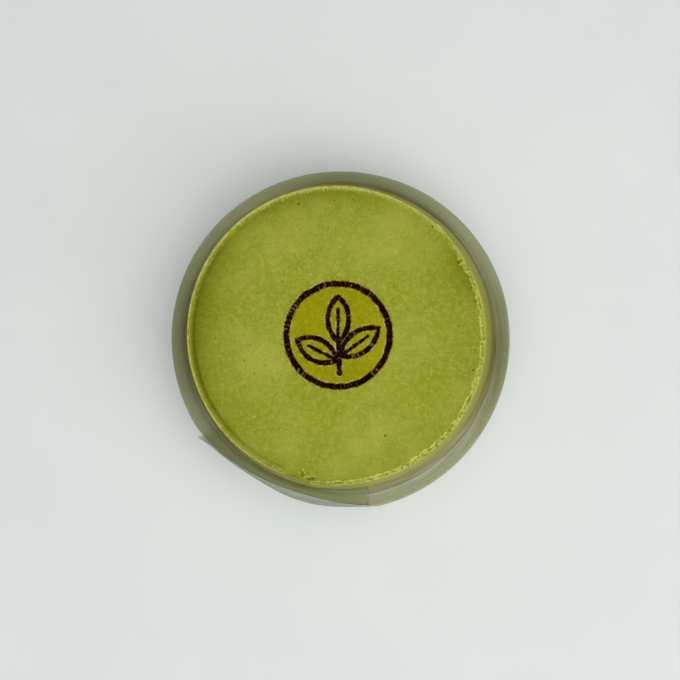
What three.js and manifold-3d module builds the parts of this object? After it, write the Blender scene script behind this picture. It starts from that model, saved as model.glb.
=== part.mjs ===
// A round matcha cheesecake standing in its clear film collar.
// Millimetres, +Z up. The origin is on the table, at the middle of the collar's loop.
// Angles are in degrees, counter-clockwise seen from above, with 0 along +X.

import * as THREE from "three";
import { mergeVertices } from "three/addons/utils/BufferGeometryUtils.js";
import Module from "manifold-3d";

// ---------- driving dimensions ----------

const CAKE_HEIGHT = 44;

// The baked foot of the cake, almost filling the collar.
const FOOT_RADIUS = 72.55;
const FOOT_CENTRE = [0.25, 1.65];
const FOOT_ROUNDING = 0.4;

// A thin browned skirt spreads from the foot to the film. It starts beside the film's inner end.
const SKIRT_THICKNESS = 0.5;
const SKIRT_HEIGHT = 1.7;
const SKIRT_FROM_FILM = 0.55;
const SKIRT_START = 280.3;
const SKIRT_SPREAD = 2;

// The top edge. The cake has shrunk inwards, more at the lower right than at the upper left.
const TOP_RADIUS = 67.8;
const TOP_CENTRE = [-1.5, 2.05];
const TOP_SKEW = 0.35;

// From the upper right round the left to the bottom, the rim keeps the thin lip that the tin
// drew up, with a groove inside it.
const LIP = { start: 34, end: 249, fade: 4 };
const LIP_HEIGHT = 0.55;
const LIP_WIDTH = 0.75;
const LIP_FROM_EDGE = 0.6;
const GROOVE_DEPTH = 0.75;
const GROOVE_WIDTH = 0.9;
const GROOVE_FROM_EDGE = 1.9;

// The rest has lost its skin along the edge, which slopes and crumbles.
const WORN = { start: -106, end: 40, fade: 9 };
const CRUMB_WIDTH = 2.6;
const CRUMB_DROP = 1.3;
const CRUMB_ROUGHNESS = 0.45;

// Single marks of handling on the rim: where, how wide, how deep and how far they move the edge.
const RIM_MARK_REACH = 1.8;
const RIM_MARKS = [
  { angle: 31, width: 1.6, drop: 1.1, push: -0.7 },
  { angle: 251, width: 6.0, drop: 0.7, push: -0.35 },
];

// Two steps in the edge, each fading away over a stretch that starts at it.
const EDGE_STEPS = [
  { angle: 50.6, push: 0.6, stretch: -13 },
  { angle: 257.6, push: 0.85, stretch: 17 },
];

// The side bulges and draws in a little between foot and edge, and the top isn't quite level.
const SIDE_CURVE = 1.35;
const SIDE_SWAY = 0.35;
const TOP_WAVES = [
  { height: 0.16, across: 80, along: 107, phase: 1.1 },
  { height: 0.12, across: 132, along: 57, phase: -0.4 },
];

// The burnt-in mark: a ring round a sprig of two leaves and a bud.
const MARK_CENTRE = [-0.9, 2.2];
const MARK_TILT = 2;
const MARK_DEPTH = 0.8;
const MARK_CUTTER_HEIGHT = 6;
const RING_RADIUS = 23.4;
const RING_LINE = 2.6;
const LEAF_LINE = 2.1;
const RIB_LINE = 1.5;
const RIB_REACH = 0.72;
const STEM_LINE = 2.2;
const STEM = { from: [0, -17.2], to: [0, -3] };
const LEAVES = [
  { base: [0, -3], tip: [0.6, 17.6], halfWidth: 4.7 },
  { base: [-0.8, -11.4], tip: [-18.4, -1.6], halfWidth: 4.9 },
  { base: [0.8, -9.4], tip: [18.4, 2.4], halfWidth: 4.8 },
];

// The clear strip wound round the cake, from its inner end clockwise to its free outer end.
const FILM_HEIGHT = 60;
const FILM_WALL = 0.4;
const FILM_RADIUS = 74.9;
const FILM_INNER_END = 280;
const FILM_OUTER_END = 214.5;
const FILM_LAYER_STEP = 0.75;
const FILM_WOBBLE = 0.2;

// The inner layer's foot draws in round the cake's. How far it has turned before it lets go.
const HUG_DEPTH = 2.1;
const HUG_LOOSENS = 40;
const HUG_ENDS = 150;

// Above the cake nothing holds the strip round, and one stretch of its rim leans in.
const LEAN_ANGLE = 252;
const LEAN_DEPTH = 4.7;
const LEAN_SPAN_AHEAD = 32;
const LEAN_SPAN_BEHIND = 42;

// There the two layers part at the rim, and the free end springs outwards.
const PARTING_START = 226;
const PARTING = 2.5;
const PARTING_BEND = 1.25;
const FLICK_START = 222;
const FLICK = 1.5;

// Fineness of the faceted solids.
const CAKE_STEPS = 128;
const FILM_STEPS = 142;
const SIDE_STEPS = 5;
const SIDE_TOP_BAND = 1.6;
const TOP_RINGS = [0, LIP_FROM_EDGE, 1.2, GROOVE_FROM_EDGE, 2.9, 5.5, 24];
const RING_ARC_STEPS = 24;
const LEAF_ARC_STEPS = 6;
const STROKE_ARC_STEPS = 3;

const MATCHA_COLOUR = 0x9ba537;
const FILM_COLOUR = 0xdfe4e2;

// ---------- small helpers ----------

const radians = THREE.MathUtils.degToRad;

// The turn from one angle to another, between -180 and 180 degrees.
function turnBetween(angle, middle) {
  const turn = THREE.MathUtils.euclideanModulo(angle - middle + 180, 360);
  return turn - 180;
}

// 1 along a span of the rim, fading to 0 towards its two ends.
function spanWeight(angle, { start, end, fade }) {
  const turned = THREE.MathUtils.euclideanModulo(angle - start, 360);
  const length = end - start;
  const begun = THREE.MathUtils.smoothstep(turned, 0, fade);
  return begun * (1 - THREE.MathUtils.smoothstep(turned, length - fade, length));
}

function bump(distance, width) {
  return Math.exp(-((distance / width) ** 2));
}

function seededRandom(seed) {
  let state = seed;
  return () => {
    state = (state * 1664525 + 1013904223) % 4294967296;
    return state / 4294967296;
  };
}

// A circle's distance from the origin along a given angle, for a circle that is a little off centre.
function offsetCircle(radius, centre, angle) {
  const turn = radians(angle);
  return radius + centre[0] * Math.cos(turn) + centre[1] * Math.sin(turn);
}

// ---------- the film's foot, which the cake's foot spreads to ----------

// The strip's distance from the origin, by how far it has turned from its inner end.
function filmLoop(turned) {
  const overlap = FILM_INNER_END - FILM_OUTER_END;
  const wound = THREE.MathUtils.smoothstep(turned, overlap, 360) - 0.5;
  return FILM_RADIUS + FILM_LAYER_STEP * wound;
}

function filmFoot(turned) {
  return filmLoop(turned) - HUG_DEPTH * (1 - THREE.MathUtils.smoothstep(turned, HUG_LOOSENS, HUG_ENDS));
}

// ---------- the cake ----------

const crumbRandom = seededRandom(7);
const CRUMBS = Array.from({ length: CAKE_STEPS }, () => crumbRandom() - 0.5);

function rimMarks(angle, what) {
  return RIM_MARKS.reduce((sum, mark) => {
    return sum + mark[what] * bump(turnBetween(angle, mark.angle), mark.width);
  }, 0);
}

function edgeSteps(angle) {
  return EDGE_STEPS.reduce((sum, { angle: start, push, stretch }) => {
    const share = turnBetween(angle, start) / stretch;
    return sum + (share < 0 ? 0 : push * (1 - THREE.MathUtils.smoothstep(share, 0, 1)));
  }, 0);
}

function crumb(angle) {
  const step = Math.round((angle / 360) * CAKE_STEPS);
  const count = CRUMBS[THREE.MathUtils.euclideanModulo(step, CAKE_STEPS)];
  return count * CRUMB_ROUGHNESS * spanWeight(angle, WORN);
}

function topRadius(angle) {
  const skew = TOP_SKEW * Math.sin(radians(2 * angle));
  const marks = rimMarks(angle, "push") + edgeSteps(angle) + crumb(angle);
  return offsetCircle(TOP_RADIUS, TOP_CENTRE, angle) - skew + marks;
}

// How much of the skirt's width is left at a height.
function skirtShare(height) {
  return 1 - THREE.MathUtils.smoothstep(height, SKIRT_THICKNESS, SKIRT_HEIGHT);
}

function skirtWidth(angle, foot) {
  const turned = THREE.MathUtils.euclideanModulo(FILM_INNER_END - angle, 360);
  const pastStart = THREE.MathUtils.euclideanModulo(angle - SKIRT_START, 360);
  const reach = filmFoot(turned) - SKIRT_FROM_FILM - foot;
  return reach * THREE.MathUtils.smoothstep(pastStart, 0, SKIRT_SPREAD);
}

// The side runs in from the foot to the top edge, slowly at first.
function sideRadius(angle, height) {
  const share = THREE.MathUtils.clamp(height / CAKE_HEIGHT, 0, 1);
  const foot = offsetCircle(FOOT_RADIUS, FOOT_CENTRE, angle);
  const sway = SIDE_SWAY * Math.sin(radians(3 * angle + 60)) * Math.sin(Math.PI * share);
  const side = THREE.MathUtils.lerp(foot, topRadius(angle), share ** SIDE_CURVE) + sway;
  return side + skirtWidth(angle, foot) * skirtShare(height);
}

// Crossed waves, each with its length across and along the top.
function unevenness(x, y) {
  return TOP_WAVES.reduce((sum, wave) => {
    const acrossTurn = (2 * Math.PI * x) / wave.across + wave.phase;
    const alongTurn = (2 * Math.PI * y) / wave.along;
    return sum + wave.height * Math.sin(acrossTurn + alongTurn) * Math.cos(alongTurn);
  }, 0);
}

function rimRelief(fromEdge, angle) {
  const lipWeight = spanWeight(angle, LIP);
  const lip = LIP_HEIGHT * bump(fromEdge - LIP_FROM_EDGE, LIP_WIDTH);
  const groove = GROOVE_DEPTH * bump(fromEdge - GROOVE_FROM_EDGE, GROOVE_WIDTH);
  const slope = Math.max(1 - fromEdge / CRUMB_WIDTH, 0) ** 1.4;
  const mark = rimMarks(angle, "drop") * bump(fromEdge, RIM_MARK_REACH);
  return lipWeight * (lip - groove) - spanWeight(angle, WORN) * CRUMB_DROP * slope - mark;
}

// The half section that the cake's lathe turns: out along the underside, up the side and back
// over the top. Its width is a share of the local radius, its height is in millimetres.
function cakeSection() {
  const section = [new THREE.Vector2(0, 0), new THREE.Vector2(1 - FOOT_ROUNDING / FOOT_RADIUS, 0)];
  const skirtMiddle = (SKIRT_THICKNESS + SKIRT_HEIGHT) / 2;
  for (const height of [FOOT_ROUNDING, skirtMiddle, SKIRT_HEIGHT]) {
    section.push(new THREE.Vector2(1, height));
  }
  for (let step = 1; step < SIDE_STEPS; step += 1) {
    section.push(new THREE.Vector2(1, (CAKE_HEIGHT * step) / SIDE_STEPS));
  }
  section.push(new THREE.Vector2(1, CAKE_HEIGHT - SIDE_TOP_BAND));
  for (const fromEdge of TOP_RINGS) {
    section.push(new THREE.Vector2(1 - fromEdge / TOP_RADIUS, CAKE_HEIGHT));
  }
  section.push(new THREE.Vector2(0, CAKE_HEIGHT));
  return section;
}

function cakeBody() {
  const geometry = new THREE.LatheGeometry(cakeSection(), CAKE_STEPS);
  geometry.rotateX(Math.PI / 2);
  const place = geometry.getAttribute("position");
  for (let index = 0; index < place.count; index += 1) {
    const share = Math.hypot(place.getX(index), place.getY(index));
    const turn = Math.atan2(place.getY(index), place.getX(index));
    const angle = THREE.MathUtils.radToDeg(turn);
    const height = place.getZ(index);
    const radius = share * sideRadius(angle, height);
    const x = radius * Math.cos(turn);
    const y = radius * Math.sin(turn);
    const onTop = height > CAKE_HEIGHT - 0.01;
    const relief = onTop ? rimRelief((1 - share) * TOP_RADIUS, angle) + unevenness(x, y) : 0;
    place.setXYZ(index, x, y, height + relief);
  }
  return geometry;
}

// ---------- the burnt-in mark ----------

function ringShape(radius, line) {
  const shape = new THREE.Shape();
  shape.absarc(0, 0, radius + line / 2, 0, 2 * Math.PI, false);
  const hole = new THREE.Path();
  hole.absarc(0, 0, radius - line / 2, 0, 2 * Math.PI, true);
  shape.holes.push(hole);
  return shape;
}

// A leaf is where two equal circles overlap. It lies along X, round the origin, and grows by
// the same amount all round when its circles do.
function leafPath(kind, length, halfWidth, grow) {
  const circle = (length ** 2 / 4 + halfWidth ** 2) / (2 * halfWidth);
  const offset = circle - halfWidth;
  const spread = Math.acos(offset / (circle + grow));
  const path = new kind();
  path.absarc(0, offset, circle + grow, -Math.PI / 2 - spread, -Math.PI / 2 + spread, false);
  path.absarc(0, -offset, circle + grow, Math.PI / 2 - spread, Math.PI / 2 + spread, false);
  return path;
}

function leafShape(length, halfWidth) {
  const shape = leafPath(THREE.Shape, length, halfWidth, LEAF_LINE / 2);
  shape.holes.push(leafPath(THREE.Path, length, halfWidth, -LEAF_LINE / 2));
  return shape;
}

// A straight stroke with round ends, along X from the origin.
function strokeShape(length, line) {
  const shape = new THREE.Shape();
  shape.absarc(0, 0, line / 2, Math.PI / 2, (3 * Math.PI) / 2, false);
  shape.absarc(length, 0, line / 2, -Math.PI / 2, Math.PI / 2, false);
  return shape;
}

// An extruded cutter for one shape, laid at a point of the mark and turned to its direction.
function cutter(shape, arcSteps, at, direction) {
  const settings = {
    depth: MARK_CUTTER_HEIGHT,
    bevelEnabled: false,
    curveSegments: arcSteps,
  };
  const geometry = new THREE.ExtrudeGeometry(shape, settings);
  geometry.rotateZ(direction);
  geometry.translate(at[0], at[1], CAKE_HEIGHT - MARK_DEPTH);
  geometry.rotateZ(radians(MARK_TILT));
  geometry.translate(MARK_CENTRE[0], MARK_CENTRE[1], 0);
  return geometry;
}

function strokeCutter(from, to, line) {
  const run = [to[0] - from[0], to[1] - from[1]];
  const shape = strokeShape(Math.hypot(...run), line);
  return cutter(shape, STROKE_ARC_STEPS, from, Math.atan2(run[1], run[0]));
}

function leafCutters({ base, tip, halfWidth }) {
  const run = [tip[0] - base[0], tip[1] - base[1]];
  const middle = [(base[0] + tip[0]) / 2, (base[1] + tip[1]) / 2];
  const ribEnd = [base[0] + run[0] * RIB_REACH, base[1] + run[1] * RIB_REACH];
  const shape = leafShape(Math.hypot(...run), halfWidth);
  const outline = cutter(shape, LEAF_ARC_STEPS, middle, Math.atan2(run[1], run[0]));
  return [outline, strokeCutter(base, ribEnd, RIB_LINE)];
}

function markCutters() {
  const ring = cutter(ringShape(RING_RADIUS, RING_LINE), RING_ARC_STEPS, [0, 0], 0);
  const stem = strokeCutter(STEM.from, STEM.to, STEM_LINE);
  return [ring, stem, ...LEAVES.flatMap(leafCutters)];
}

// ---------- joining and cutting ----------

const manifold = await Module();
manifold.setup();

function toSolid(geometry) {
  const bare = geometry.clone();
  bare.deleteAttribute("normal");
  bare.deleteAttribute("uv");
  const merged = mergeVertices(bare, 1e-4);
  const corners = [];
  for (let face = 0; face < merged.index.count; face += 3) {
    const [a, b, c] = [0, 1, 2].map((corner) => merged.index.getX(face + corner));
    if (a !== b && b !== c && c !== a) {
      corners.push(a, b, c);
    }
  }
  const vertProperties = new Float32Array(merged.getAttribute("position").array);
  const triVerts = new Uint32Array(corners);
  return new manifold.Manifold(new manifold.Mesh({ numProp: 3, vertProperties, triVerts }));
}

function toGeometry(solid) {
  const mesh = solid.getMesh();
  const geometry = new THREE.BufferGeometry();
  geometry.setAttribute("position", new THREE.BufferAttribute(mesh.vertProperties, 3));
  geometry.setIndex(new THREE.BufferAttribute(mesh.triVerts, 1));
  geometry.computeVertexNormals();
  return geometry;
}

function cakeGeometry() {
  const strokes = markCutters().map(toSolid);
  const mark = strokes.reduce((whole, stroke) => whole.add(stroke));
  return toGeometry(toSolid(cakeBody()).subtract(mark));
}

// ---------- the film collar ----------

function leanWeight(angle) {
  const turn = turnBetween(angle, LEAN_ANGLE);
  const reach = turn / (turn > 0 ? LEAN_SPAN_AHEAD : LEAN_SPAN_BEHIND);
  return Math.max(1 - reach ** 2, 0) ** 1.5;
}

// How far the outer layer's rim stands off the inner layer's, beyond their usual step.
function rimParting(angle) {
  const share = (angle - PARTING_START) / (FILM_INNER_END - PARTING_START);
  if (share > 0) {
    return PARTING * Math.sin(Math.PI * Math.min(share, 1) ** PARTING_BEND) ** 2;
  }
  const past = Math.max(FLICK_START - angle, 0) / (FLICK_START - FILM_OUTER_END);
  return FLICK * past ** 2;
}

// The strip's middle line: its distance from the origin at a height, a share of the way along.
function filmRadius(along, height) {
  const turned = along * (FILM_INNER_END - FILM_OUTER_END + 360);
  const angle = FILM_INNER_END - turned;
  const lean = LEAN_DEPTH * leanWeight(angle);
  const parting = turned > 360 ? rimParting(angle + 360) : 0;
  const wobble = FILM_WOBBLE * Math.sin(radians(3 * angle));
  const rim = filmLoop(turned) - lean + parting + wobble;
  return { angle, radius: THREE.MathUtils.lerp(filmFoot(turned), rim, height / FILM_HEIGHT) };
}

// A long thin box is bent into the wound strip.
function filmGeometry() {
  const geometry = new THREE.BoxGeometry(1, FILM_WALL, FILM_HEIGHT, FILM_STEPS, 1, 1);
  geometry.translate(0.5, 0, FILM_HEIGHT / 2);
  const place = geometry.getAttribute("position");
  for (let index = 0; index < place.count; index += 1) {
    const height = place.getZ(index);
    const { angle, radius } = filmRadius(place.getX(index), height);
    const reach = radius + place.getY(index);
    place.setXYZ(index, reach * Math.cos(radians(angle)), reach * Math.sin(radians(angle)), height);
  }
  return toGeometry(toSolid(geometry));
}

// ---------- the model ----------

function piece(name, geometry, finish) {
  const mesh = new THREE.Mesh(geometry, new THREE.MeshStandardMaterial(finish));
  mesh.name = name;
  return mesh;
}

const matchaCheesecake = new THREE.Group();
matchaCheesecake.add(
  piece("cake", cakeGeometry(), { color: MATCHA_COLOUR, roughness: 0.85, metalness: 0 }),
  piece("film_collar", filmGeometry(), {
    color: FILM_COLOUR,
    roughness: 0.08,
    metalness: 0,
    transparent: true,
    opacity: 0.3,
  }),
);

export default matchaCheesecake;
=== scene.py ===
# A round matcha cheesecake with a burnt-in mark, standing in its clear film collar.
# Metres, +Z up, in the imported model's own frame. Angles are in radians, counter-clockwise
# seen from above, with 0 along +X.

import math
import random

import bmesh
import bpy
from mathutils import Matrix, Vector, kdtree, noise


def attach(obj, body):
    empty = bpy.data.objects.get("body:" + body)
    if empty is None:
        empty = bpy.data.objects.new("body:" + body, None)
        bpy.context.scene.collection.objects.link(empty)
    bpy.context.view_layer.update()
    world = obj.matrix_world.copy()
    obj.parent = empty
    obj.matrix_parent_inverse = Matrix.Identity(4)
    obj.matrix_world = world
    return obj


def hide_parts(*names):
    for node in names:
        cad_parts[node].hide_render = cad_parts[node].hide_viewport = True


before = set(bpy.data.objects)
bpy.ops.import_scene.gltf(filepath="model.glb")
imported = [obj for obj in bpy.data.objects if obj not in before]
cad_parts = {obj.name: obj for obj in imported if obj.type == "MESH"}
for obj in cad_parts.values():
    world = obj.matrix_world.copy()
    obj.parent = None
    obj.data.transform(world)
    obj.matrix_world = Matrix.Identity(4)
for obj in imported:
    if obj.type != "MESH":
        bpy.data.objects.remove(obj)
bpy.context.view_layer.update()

MM = 0.001
UP = Vector((0, 0, 1))
FULL_TURN = 2 * math.pi


# ---------- how places are written down ----------

def stretch(middle, span, share):
    """A stretch of the rim, in degrees, that fades away on both sides of its middle."""
    return {"middle": math.radians(middle), "span": math.radians(span), "share": share}


def tear(start, end, width, height):
    """A torn line in the skin, in millimetres: a raised edge, or a slit with a height below 0."""
    ends = {"start": Vector(start) * MM, "end": Vector(end) * MM}
    return ends | {"width": width * MM, "height": height * MM}


def bubble(x, y, radius, depth):
    """An open bubble in the top, in millimetres."""
    return {"place": Vector((x, y)) * MM, "radius": radius * MM, "depth": depth * MM}


# ---------- the cake's sizes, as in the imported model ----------

CAKE_HEIGHT = 44 * MM

FOOT_RADIUS = 72.55 * MM
FOOT_CENTRE = (0.25 * MM, 1.65 * MM)
FOOT_ROUNDING = 0.4 * MM

# A thin browned skirt spreads from the foot to the film. It starts beside the film's inner end.
SKIRT_THICKNESS = 0.5 * MM
SKIRT_HEIGHT = 1.7 * MM
SKIRT_START = math.radians(279.9)
SKIRT_SPREAD = math.radians(0.1)

TOP_RADIUS = 67.8 * MM
TOP_CENTRE = (-1.5 * MM, 2.05 * MM)
TOP_SKEW = 0.35 * MM

# From the upper right round the left to the bottom, the rim keeps a thin lip with a groove
# inside it. The groove is deepest at the left. The lip's pale crest is wider in places.
LIP = {"start": math.radians(34), "end": math.radians(249), "fade": math.radians(4)}
LIP_HEIGHT = 0.5 * MM
LIP_WIDTH = 0.42 * MM
LIP_FROM_EDGE = 0.3 * MM
LIP_WAVER = 0.45
CREST_WIDTH = 0.85 * MM
CREST_WIDENING = [
    stretch(48.4, 2.4, 1.2),
    stretch(92, 38, 0.9),
    stretch(142, 24, 0.45),
    stretch(205, 22, 0.4),
]
GROOVE_MIDDLE = math.radians(194)
GROOVE_SPAN = math.radians(44)
GROOVE_DEPTH = 0.8 * MM
GROOVE_LEAST = 0.25
GROOVE_WIDTH = 1.2 * MM
GROOVE_FROM_EDGE = 2.3 * MM
GROOVE_WAVER = 0.12

# The rest has lost its skin along the edge, which slopes and crumbles between two ridges. Its
# width grows with the cosine of the turn from its widest place, between two values of it.
WORN = {"start": math.radians(-106), "end": math.radians(40), "fade": math.radians(9)}
WORN_WIDTH = 2.3 * MM
WORN_WIDEST = math.radians(-25)
WORN_NARROWEST = 0.5
WORN_GROWS = (-0.2, 0.9)
WORN_RAGGED = 0.3
WORN_DROP = 1.0 * MM
WORN_SLOPE = 1.3
WORN_RIDGES = [
    {"height": 0.26 * MM, "place": 1.08, "width": 0.12},
    {"height": 0.3 * MM, "place": 0, "width": 0.16},
]
SKIN_THICKNESS = 0.25 * MM
SKIN_BREAKS = (0.85, 1.05)

# Single marks of handling on the rim: where, how wide, how deep, how far they move the edge.
RIM_MARK_REACH = 1.8 * MM
RIM_MARKS = [
    {"angle": math.radians(31), "width": math.radians(1.6), "drop": 0.6 * MM, "push": -0.5 * MM},
    {"angle": math.radians(251), "width": math.radians(6), "drop": 0.7 * MM, "push": -0.35 * MM},
]

# Two steps in the edge, each fading away over a stretch that starts at it.
EDGE_STEPS = [
    {"angle": math.radians(50.6), "push": 0.6 * MM, "stretch": math.radians(-13)},
    {"angle": math.radians(257.6), "push": 0.85 * MM, "stretch": math.radians(17)},
]
EDGE_STEP_LENGTH = math.radians(0.9)

# Torn skin: folds at the upper right, and a flake beside slits at the bottom of the rim.
TEARS = [
    tear((55.6, 32.8), (57.4, 34.4), 0.5, 0.4),
    tear((55.3, 33.9), (56.6, 34.4), 0.4, -0.6),
    tear((54.0, 34.2), (56.8, 35.8), 0.5, 0.5),
    tear((53.6, 35.4), (55.0, 36.2), 0.55, -0.75),
    tear((53.4, 36.7), (55.6, 37.6), 0.5, 0.4),
    tear((-16.8, -58.2), (-15.4, -61.4), 0.34, 0.4),
    tear((-15.6, -61.6), (-16.6, -62.6), 0.4, 0.4),
    tear((-15.6, -62.2), (-11.2, -61.9), 0.3, 0.35),
    tear((-14.9, -63.0), (-12.0, -62.6), 0.42, -1.1),
    tear((-17.6, -59.6), (-16.9, -61.2), 0.4, -0.5),
    tear((-33.6, -56.0), (-31.6, -57.0), 0.3, -0.3),
    tear((-28.0, -59.4), (-26.6, -59.6), 0.3, -0.3),
    tear((-21.8, -61.6), (-20.6, -61.2), 0.4, -0.4),
]
TEAR_REACH = 8 * MM
TEAR_WOBBLE = 0.5 * MM
TEAR_WOBBLE_PITCH = 1.3 * MM

# The side runs in from the foot to the top edge, and the top isn't quite level.
SIDE_CURVE = 1.35
SIDE_SWAY = 0.35 * MM
SIDE_SWAYS_AROUND = 3
SIDE_SWAY_TURN = math.radians(60)
TOP_WAVES = [
    {"height": 0.16 * MM, "across": 80 * MM, "along": 107 * MM, "phase": 1.1},
    {"height": 0.12 * MM, "across": 132 * MM, "along": 57 * MM, "phase": -0.4},
]

# ---------- the fine relief ----------

# The bare crumb: where it fades in on the side and out on the top, its crumbs and its hollows.
CRUMB_STARTS = (-3.5 * MM, -0.4 * MM)
CRUMB_ENDS = (1.8 * MM, 3.2 * MM)
CRUMB_HEIGHT = 0.26 * MM
CRUMB_PITCH = 1.6 * MM
HOLLOW_DEPTH = 0.3 * MM
HOLLOW_PITCH = 1.1 * MM
HOLLOW_LEVEL = 0.45

# The top edge is rounded, more where it is worn. Relief near it stands between up and out.
EDGE_ROUNDING = 0.4 * MM
EDGE_ROUNDING_REACH = 1.1 * MM
EDGE_ROUNDING_LEAST = 0.4
EDGE_TURN = 1.4 * MM

SKIN_SWELL = {"height": 0.06 * MM, "pitch": 7 * MM, "octaves": 3}
SKIN_GRAIN = {"height": 0.02 * MM, "pitch": 1.6 * MM, "octaves": 2, "shift": 5}
SIDE_CREASES = {"height": 0.1 * MM, "pitch": 9 * MM, "octaves": 4}
SIDE_GRAIN = {"height": 0.05 * MM, "pitch": 2.6 * MM, "octaves": 2, "shift": 3}
SIDE_SQUEEZE = 2.2
SIDE_RELIEF_STARTS = -3 * MM

# ---------- where the surface changes along the rim ----------

# Painted shade: the skin is darker towards the rim, most at the left.
RIM_SHADE_PLACES = [stretch(168, 48, 1.12), stretch(95, 25, 0.58), stretch(27, 15, 0.65)]
RIM_SHADE_LEAST = 0.2
RIM_SHADE_REACH = 8.5 * MM
RIM_SHADE_LIMIT = 0.73

# A moist, deep yellow spot beside the lip.
SPOT_PLACE = Vector((-48.5, 48.3)) * MM
SPOT_RADIUS = 2.0 * MM

# How browned the side's lower part is, with painted shade mixed in; a painted shadow at its foot;
# painted shade on the skirt.
# The least share is baked browning; the places add painted shade that changes round the rim.
BROWNING_LEAST = 0.35
BROWNING_SHADE_PLACES = [
    stretch(-65, 22, -0.1),
    stretch(0, 18, 0.12),
    stretch(37, 20, -0.35),
    stretch(88, 18, 0.2),
    stretch(120, 22, -0.35),
    stretch(245, 28, -0.35),
]
# Painted shadow at the side's foot, which also darkens the skirt in places.
FOOT_SHADOW_LEAST = 0.2
FOOT_SHADOW_PLACES = [stretch(-64, 22, 0.3), stretch(-5, 20, 0.6), stretch(186, 32, 0.5)]
# Painted shade on the skirt, which darkens it in places round the rim.
SKIRT_SHADE_PLACES = [
    stretch(0, 30, 0.2),
    stretch(65, 40, 0.5),
    stretch(178, 34, 0.6),
    stretch(250, 22, 0.6),
]

# Painted shade on the film, which darkens what shows through it: all the way up, less towards its
# rim, and at its foot alone.
FILM_SHADE_PLACES = [stretch(-4, 25, 0.44), stretch(92, 20, 0.15), stretch(182, 28, 0.38)]
FILM_SHADE_TOP = 0.4
FILM_FOOT_SHADE_PLACES = [stretch(62, 34, 0.55), stretch(172, 32, 0.45)]
FILM_FOOT_SHADE_HEIGHT = 12 * MM

# ---------- the burnt-in mark: a ring round a sprig of two leaves and a bud ----------

MARK_CENTRE = (-0.9 * MM, 2.2 * MM)
MARK_TILT = math.radians(2)
MARK_DEPTH = 0.55 * MM
RING_RADIUS = 23.4 * MM
RING_LINE = 2.6 * MM
LEAF_LINE = 2.1 * MM
RIB_LINE = 1.5 * MM
RIB_REACH = 0.72
STEM_LINE = 2.2 * MM
STEM = (Vector((0, -17.2)) * MM, Vector((0, -3)) * MM)
LEAVES = [
    {"base": Vector((0, -3)) * MM, "tip": Vector((0.6, 17.6)) * MM, "half_width": 4.7 * MM},
    {"base": Vector((-0.8, -11.4)) * MM, "tip": Vector((-18.4, -1.6)) * MM, "half_width": 4.9 * MM},
    {"base": Vector((0.8, -9.4)) * MM, "tip": Vector((18.4, 2.4)) * MM, "half_width": 4.8 * MM},
]
FAR_FROM_MARK = 5 * MM

# Its strokes wobble, their walls slope unevenly, their bottom is rough, and a low swollen
# border runs round them. The skin is yellower out to past the ring.
STROKE_WOBBLE = 0.38 * MM
STROKE_WOBBLE_PITCH = 3.4 * MM
WALL_SLOPE = (-0.4 * MM, 0.3 * MM)
WALL_WAVER = 0.12 * MM
WALL_WAVER_PITCH = 1.2 * MM
CHAR_ROUGHNESS = 0.4
CHAR_PITCH = 1.1 * MM
BORDER = {"height": 0.1 * MM, "place": 0.7 * MM, "width": 0.4 * MM}
YELLOW_FADE = (0.8 * MM, 3.2 * MM)

# ---------- open bubbles in the top ----------

PORES = [
    bubble(-18.8, 61.7, 0.8, 0.7),
    bubble(-2.7, 63.0, 0.7, 0.6),
    bubble(5.9, 63.6, 0.5, 0.5),
    bubble(-5.4, 50.6, 0.55, 0.4),
    bubble(-41.0, 53.2, 0.6, 0.4),
    bubble(53.8, 6.5, 0.6, 0.5),
    bubble(59.6, 23.7, 0.7, 0.6),
    bubble(60.3, -13.6, 0.7, 0.6),
    bubble(61.0, -4.3, 0.5, 0.5),
    bubble(31.2, -29.2, 0.5, 0.4),
    bubble(47.1, -34.7, 0.6, 0.5),
    bubble(20.4, -43.3, 0.75, 0.9),
    bubble(-56.4, 1.1, 0.65, 0.5),
    bubble(-43.0, 7.0, 0.55, 0.4),
    bubble(-43.4, -9.3, 0.6, 0.4),
    bubble(41.9, 51.3, 0.6, 0.6),
]

# Smaller ones are scattered, with radii in millimetres and a share of the radius for depth.
SMALL_PORES = 26
SMALL_PORE_FIELD = 62 * MM
SMALL_PORE_RADII = (0.3, 0.5)
SMALL_PORE_DEPTH = 0.7

# Each has a low raised rim, in shares of its depth and its radius.
PORE_RIM = {"height": 0.12, "place": 1.15, "width": 0.3}

# ---------- the film's sizes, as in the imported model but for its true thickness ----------

FILM_HEIGHT = 60 * MM
FILM_WALL = 0.18 * MM
FILM_RADIUS = 74.9 * MM
FILM_INNER_END = math.radians(280)
FILM_OUTER_END = math.radians(214.5)
FILM_OVERLAP = FILM_INNER_END - FILM_OUTER_END
FILM_LAYER_STEP = 0.75 * MM
FILM_WOBBLE = 0.2 * MM
FILM_CUT_EDGE = (0.499, 0.4999)

# The inner layer's foot draws in round the cake's. How far it has turned before it lets go.
HUG_DEPTH = 2.1 * MM
HUG_LOOSENS = math.radians(40)
HUG_ENDS = math.radians(150)

LEAN_ANGLE = math.radians(252)
LEAN_DEPTH = 4.7 * MM
LEAN_SPAN_AHEAD = math.radians(32)
LEAN_SPAN_BEHIND = math.radians(42)
PARTING_START = math.radians(226)
PARTING = 2.5 * MM
PARTING_BEND = 1.25
FLICK_START = math.radians(222)
FLICK = 1.5 * MM

# ---------- fineness of the meshes ----------

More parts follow.
